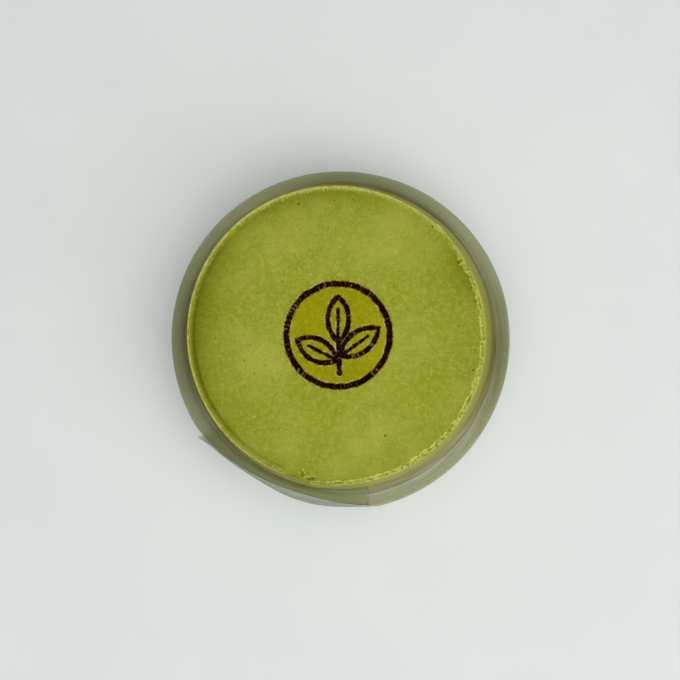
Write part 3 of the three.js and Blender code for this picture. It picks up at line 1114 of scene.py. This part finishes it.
def side_colour(made):
    """The bare crumb of the side: pale and yellowish, brown at the foot and on its skirt, with
    painted shade and a painted shadow line mixed in.
    """
    rise = made.attribute("rise")
    browned_and_shaded = made.attribute("browned_and_shaded")
    tone = made.span(made.noise(1.3, 4, 0.7), 0.3, 0.7)
    colour = made.blend(tone, SIDE_CRUMB, SIDE_PALE)
    colour = made.blend(made.product(browned_and_shaded, 0.2), colour, SIDE_TAN)
    low = made.blend(browned_and_shaded, LOW_PALE, LOW_BROWN)
    colour = made.blend(made.span(rise, 0.3, 0.85, 0.85, 0), colour, low)
    streaks = made.span(made.noise(5, 3, 0.6, made.scaled(made.place, (0.5, 0.5, 3))), 0.4, 0.65)
    colour = made.blend(made.product(streaks, 0.25), colour, SIDE_STREAK)
    # Small holes in the side, darkened with painted shade.
    holes = made.dots(3.2, -0.12, 0.14, flat=False)
    colour = made.blend(made.product(holes, 0.6), colour, SIDE_HOLE_SHADE)
    crust = made.blend(made.streaks(0.9), SKIRT_GREY, SKIRT_PALE)
    crust = made.blend(made.product(browned_and_shaded, 0.15), crust, SKIRT_BROWN)
    # Painted shade darkens the skirt in places round the rim.
    crust = made.blend(made.attribute("skirt_shade"), crust, SKIRT_SHADE_TINT, "MULTIPLY")
    # Painted shadow darkens the skirt and draws a dark line at the side's foot.
    foot_shadow = made.attribute("foot_shadow")
    crust = made.blend(made.span(foot_shadow, 0.5, 1, 0, 0.4), crust, FOOT_SHADOW_BROWN)
    colour = made.blend(made.span(made.attribute("skirt"), 0.02, 0.3), colour, crust)
    line = made.product(made.band(rise, 0.05, 0.03), foot_shadow)
    return made.blend(line, colour, FOOT_SHADOW_LINE), holes


def groove_colour(made, skin):
    """The groove is golden on its outer slope, and painted shade darkens its bottom to green."""
    groove = made.attribute("groove")
    wavy_edge = made.math("ADD", made.attribute("from_edge"), made.waver(2, 4, 1.6, 0.65))
    slope = made.product(made.band(wavy_edge, 1.1, 0.8), made.attribute("lip"))
    skin = made.blend(made.product(slope, made.span(groove, 0, 1, 0.3, 0.6)), skin, GROOVE_GOLD)
    # Painted shade in the groove's bottom.
    bottom = made.product(made.band(wavy_edge, 2.9, 1.5), groove, 0.7)
    return made.blend(bottom, skin, GROOVE_SHADE), bottom


def worn_colour(made, skin, side, on_side):
    """The worn edge: crumb with holes darkened by painted shade, between two thin beaded lines of
    pale crumb with a painted highlight.
    """
    worn = made.attribute("worn")
    place = made.attribute("worn_place")
    ragged = made.math("ADD", place, made.waver(1.4, 3, 0.6))
    bare = made.product(made.span(ragged, 0.8, 1.05, 1, 0), worn)
    tone = made.span(made.noise(1.7, 3, 0.7), 0.38, 0.62)
    crumb = made.blend(tone, WORN_CRUMB, WORN_PALE)
    holes = made.product(made.dots(2.2, -0.25, 0.3, 0.12), made.span(place, 0.2, 0.5))
    crumb = made.blend(made.product(holes, 0.9), crumb, WORN_HOLE_SHADE)
    colour = made.blend(bare, skin, crumb)
    colour = made.blend(on_side, colour, side)
    beads = made.span(made.noise(1.6, 3), 0.42, 0.58)
    inner = made.product(made.band(ragged, 1.02, 0.3), made.span(beads, 0, 1, 0.2, 1))
    edge = made.band(made.attribute("from_edge"), 0.3, 0.9)
    outer = made.product(edge, made.span(beads, 0, 1, 0.1, 0.9))
    lines = made.product(made.math("MAXIMUM", inner, outer), worn)
    return made.blend(lines, colour, WORN_LINE_AND_HIGHLIGHT), made.product(holes, bare)


def crest_colour(made, colour, spot):
    """The lip's pale beaded crest, frayed on its inner side. It is missing at the spot."""
    from_edge = made.attribute("from_edge")
    lip = made.attribute("lip")
    width = made.attribute("crest")
    beads = made.span(made.noise(1.4, 3, 0.6), 0.36, 0.58, 0.45, 1)
    feathered = made.math("ADD", from_edge, made.product(made.waver(0.9, 3, 1.5), width))
    whole = made.less(1.0, made.product(spot, 0.7))
    crest = made.product(made.band(feathered, 0.25, width), lip, beads, whole)
    colour = made.blend(crest, colour, CREST_PALE)
    specks = made.span(made.noise(1.0, 4, 0.7), 0.49, 0.57)
    frayed = made.product(made.band(from_edge, 1.4, 1.6), specks, lip, whole)
    thinned = made.span(made.attribute("groove"), 0, 1, 0.8, 0.12, "LINEAR")
    return made.blend(made.product(frayed, thinned), colour, CREST_SPECK)


def pore_colour(made, colour):
    """Hollows of pores darkened with painted shade, a deeper yellow round them, and the torn skin,
    with painted shade in its slits.
    """
    pore = made.attribute("pore")
    colour = made.blend(made.product(made.span(pore, -0.9, 0.1), 0.4), colour, PORE_HALO)
    colour = made.blend(made.span(pore, 0.25, 0.6, 0, 0.8), colour, PORE_SHADE)
    torn = made.attribute("torn")
    colour = made.blend(made.span(torn, 0.2, 0.8, 0, 0.6), colour, TORN_PALE)
    return made.blend(made.span(torn, -0.8, -0.2, 0.5, 0), colour, TORN_SLIT_SHADE)


def mark_colour(made, colour):
    """The mark: yellower ground, a scorched fringe with pale swollen spots, and char that is
    scratched and cracked across its strokes, with painted highlights along the cracks."""
    mark = made.attribute("mark")
    colour = made.blend(made.attribute("branded"), colour, MARK_TINT, "MULTIPLY")
    along = made.node("CombineXYZ", None, {0: made.attribute("along"), 1: mark})
    slanted = made.scaled(made.turned(along.outputs[0], 0.35), (1, 0.14, 1))
    scratches = made.noise(0.75, 3, 0.6, slanted)
    fray = made.less(made.math("ADD", made.noise(0.7, 3), scratches), 1)
    stroke = made.math("ADD", mark, made.math("MULTIPLY", fray, 0.75))
    colour = made.blend(made.span(stroke, 0.0, 0.7, 0.7, 0), colour, SCORCH)
    spots = made.span(made.noise(1.8, 2), 0.5, 0.6, 0, 0.85)
    colour = made.blend(made.product(made.band(stroke, 0.4, 0.35), spots), colour, SWOLLEN_SPOT)
    char = made.blend(made.span(scratches, 0.38, 0.62), CHAR_BLACK, CHAR_BROWN)
    fine = made.noise(0.8, 2, 0.6, slanted)
    cracks = made.product(made.span(fine, 0.54, 0.62), made.span(made.noise(2.4, 2), 0.44, 0.58))
    # Painted highlights along the cracks of the char.
    char = made.blend(made.product(cracks, 0.65), char, CHAR_GLINT)
    burnt = made.span(stroke, -0.2, 0.12, 1, 0)
    return made.blend(burnt, colour, char), burnt, cracks


def cake_material():
    made = Recipe("matcha_crumb")
    on_side = made.span(made.attribute("from_edge"), -0.5, 0.0, 1, 0)
    skin, grain, pinholes = skin_colour(made)
    side, side_holes = side_colour(made)
    skin, rim_shade, spot = rim_shade_colour(made, skin)
    skin, groove = groove_colour(made, skin)
    colour, worn_holes = worn_colour(made, skin, side, on_side)
    colour = crest_colour(made, colour, spot)
    colour = pore_colour(made, colour)
    colour, burnt, cracks = mark_colour(made, colour)

    # Grain stands up. Pin-holes, which show on the top alone, and other holes go in.
    height = made.product(grain, 0.8)
    height = made.less(height, made.product(pinholes, made.less(1.0, on_side), 0.8))
    height = made.less(height, made.product(worn_holes, 1.5))
    height = made.less(height, made.product(side_holes, on_side, 2.5))
    height = made.math("ADD", height, made.product(cracks, burnt, 1.5))

    # Where the colour is deep or burnt, the surface hardly shines.
    deep = made.math("MAXIMUM", groove, spot)
    deep = made.math("MAXIMUM", made.span(rim_shade, 0, 0.5, 0, 0.8), deep)
    deep = made.math("MAXIMUM", deep, made.product(made.attribute("branded"), 0.6))
    dull = made.math("MAXIMUM", burnt, deep)
    sockets = {
        "Base Color": colour,
        "Roughness": made.span(burnt, 0, 1, 0.78, 0.9),
        "Specular IOR Level": made.span(dull, 0, 1, 0.26, 0.03),
        "Normal": made.relief(height, CAKE_BUMP),
    }
    return made.surface(made.node("BsdfPrincipled", None, sockets).outputs[0])


# ---------- the film's and the floor's materials ----------

def film_material():
    """Clear film. It lets light straight through, and mirrors more the flatter it is looked at.
    Painted shade darkens what shows through it in places, its cut rim looks dark, and its cut ends
    don't mirror."""
    made = Recipe("clear_film")
    rise = made.node("SeparateXYZ", None, {0: made.place}).outputs[2]
    rim = FILM_HEIGHT / MM
    facing = made.node("LayerWeight", None, {"Blend": 0.5}).outputs["Facing"]
    mirrored = made.span(made.math("POWER", facing, 4.8), 0, 1, 0.04, 1, "LINEAR")
    mirrored = made.product(mirrored, made.span(made.attribute("cut"), 0.6, 1, 1, 0))
    waves = made.noise(9, 2, place=made.scaled(made.place, (1, 1, 0.25)))
    sockets = {"Color": FILM_GLOSS, "Roughness": 0.06, "Normal": made.relief(waves, FILM_BUMP)}
    gloss = made.node("BsdfAnisotropic", {"distribution": "GGX"}, sockets).outputs[0]
    # Painted shade darkens what shows through the film.
    tint = made.blend(made.attribute("film_shade"), FILM_CLEAR, FILM_SHADED)
    tint = made.blend(made.span(rise, rim - 0.8, rim - 0.5), tint, FILM_RIM)
    clear = made.node("BsdfTransparent", None, {"Color": tint}).outputs[0]
    mixed = made.node("MixShader", None, {0: mirrored, 1: clear, 2: gloss})
    return made.surface(mixed.outputs[0])


def floor_material():
    made = Recipe("pale_floor")
    tone = made.blend(made.noise(60, 4), FLOOR_SHADE, FLOOR_WHITE)
    sockets = {"Base Color": tone, "Roughness": 0.9}
    return made.surface(made.node("BsdfPrincipled", None, sockets).outputs[0])


# ---------- floor, light and camera ----------

FLOOR_SIZE = 6
CAMERA_HEIGHT = 800 * MM
VIEW_WIDTH = 325.7 * MM
SENSOR_WIDTH = 36 * MM

OVERHEAD_PLACE = (0.1, -0.15, 1.4)
OVERHEAD_SIZE = 1.4
OVERHEAD_POWER = 13.6
OVERHEAD_COLOUR = (1.0, 0.99, 0.97)
FILL_PLACE = (0.95, -0.75, 0.75)
FILL_SIZE = 1.2
FILL_POWER = 4.2
FILL_COLOUR = (1.0, 1.0, 1.0)

# The sky's strength at the horizon and from some way up, and its colour.
SKY_LOW = 0.16
SKY_HIGH = 0.28
SKY_HIGH_FROM = 0.8
SKY_COLOUR = (0.96, 0.98, 1.0, 1)


def make_floor():
    bm = bmesh.new()
    bmesh.ops.create_grid(bm, x_segments=1, y_segments=1, size=FLOOR_SIZE / 2)
    placed_mesh("floor", bm, floor_material())


def make_lamp(name, place, size, power, colour):
    """A square soft light that faces the cake."""
    data = bpy.data.lights.new(name, "AREA")
    data.size = size
    data.energy = power
    data.color = colour
    lamp = placed(name, data)
    lamp.location = place
    lamp.rotation_euler = (-Vector(place)).to_track_quat("-Z", "Y").to_euler()


def make_sky():
    world = bpy.data.worlds.new("studio")
    world.use_nodes = True
    nodes = world.node_tree.nodes
    links = world.node_tree.links
    split = nodes.new("ShaderNodeSeparateXYZ")
    rise = nodes.new("ShaderNodeMapRange")
    rise.inputs["From Max"].default_value = SKY_HIGH_FROM
    rise.inputs["To Min"].default_value = SKY_LOW
    rise.inputs["To Max"].default_value = SKY_HIGH
    links.new(nodes.new("ShaderNodeTexCoord").outputs["Generated"], split.inputs[0])
    links.new(split.outputs["Z"], rise.inputs["Value"])
    links.new(rise.outputs["Result"], nodes["Background"].inputs["Strength"])
    nodes["Background"].inputs["Color"].default_value = SKY_COLOUR
    bpy.context.scene.world = world


def make_light():
    make_lamp("overhead", OVERHEAD_PLACE, OVERHEAD_SIZE, OVERHEAD_POWER, OVERHEAD_COLOUR)
    make_lamp("fill", FILL_PLACE, FILL_SIZE, FILL_POWER, FILL_COLOUR)
    make_sky()
    bpy.context.scene.view_settings.view_transform = "Standard"


def make_camera():
    """Straight above the middle of the collar, with the photograph's width at table level."""
    data = bpy.data.cameras.new("camera")
    data.sensor_width = SENSOR_WIDTH / MM
    data.lens = data.sensor_width * CAMERA_HEIGHT / VIEW_WIDTH
    camera = placed("camera", data)
    camera.location = (0, 0, CAMERA_HEIGHT)
    bpy.context.scene.camera = camera


# ---------- the scene ----------

make_camera()
make_light()
make_floor()
pores = all_pores()
finished_piece("cake_body", shape_cake(spun_cake(pores), pores), cake_material(), "cake")
finished_piece("film_strip", film_strip(), film_material(), "film_collar")
